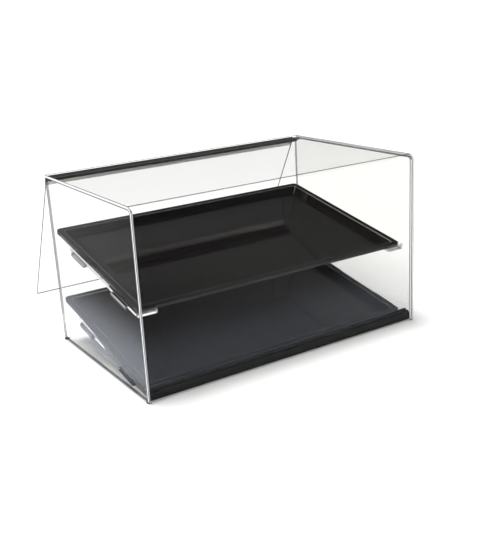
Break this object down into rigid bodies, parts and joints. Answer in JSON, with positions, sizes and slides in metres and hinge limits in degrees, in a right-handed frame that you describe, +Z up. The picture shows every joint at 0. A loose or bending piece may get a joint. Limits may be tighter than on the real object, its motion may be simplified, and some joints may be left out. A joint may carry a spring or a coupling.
{
  "type": "countertop bread display bin",
  "caption": "Clear acrylic countertop case open at the bottom, with sloping black serving trays on side ledges and a clear rear flap on a full-width black hinge",
  "frame": {"origin": "The centre of the case's footprint, on the plane of the counter", "axes": "+X to the right along the front, seen from the front; +Y to the back, where the flap hangs; +Z up"},
  "size_m": [0.55, 0.4935, 0.309],
  "materials": {
    "clear_acrylic": "polished clear cast acrylic sheet with flame-polished edges",
    "clear_bumper": "clear soft polyurethane bumper",
    "black_pvc": "satin black extruded PVC",
    "black_melamine": "glossy black moulded melamine",
    "grey_tape": "light grey double-sided bonding tape",
    "dark_tape": "dark grey double-sided bonding tape"
  },
  "bodies": {
    "case": {"canopy": "clear_acrylic", "side_panel_left": "clear_acrylic", "side_panel_right": "clear_acrylic", "upper_rail_left": "clear_acrylic", "upper_rail_right": "clear_acrylic", "lower_rail_left": "clear_acrylic", "lower_rail_right": "clear_acrylic", "upper_stop_left": "clear_acrylic", "upper_stop_right": "clear_acrylic", "lower_stop_left": "clear_acrylic", "lower_stop_right": "clear_acrylic", "foot_front_left": "clear_bumper", "foot_front_right": "clear_bumper", "foot_rear_left": "clear_bumper", "foot_rear_right": "clear_bumper", "front_sill": "black_pvc", "hinge_top_profile": "black_pvc", "hinge_top_tape": "dark_tape"},
    "flap": {"rear_flap": "clear_acrylic", "hinge_flap_profile": "black_pvc", "hinge_flap_tape": "grey_tape"},
    "upper_tray_body": {"upper_tray": "black_melamine"},
    "lower_tray_body": {"lower_tray": "black_melamine"}
  },
  "joints": [
    {"name": "flap_hinge", "type": "hinge", "parent": "case", "child": "flap", "pos_m": [0, 0.18, 0.3004], "axis": [1, 0, 0], "range_deg": [-29, 81]},
    {"name": "upper_tray_slide", "type": "slide", "parent": "case", "child": "upper_tray_body", "axis": [0, 0.9803, 0.1977], "range_m": [0, 0.004]},
    {"name": "lower_tray_slide", "type": "slide", "parent": "case", "child": "lower_tray_body", "axis": [0, 0.9803, 0.1977], "range_m": [0, 0.004]}
  ]
}
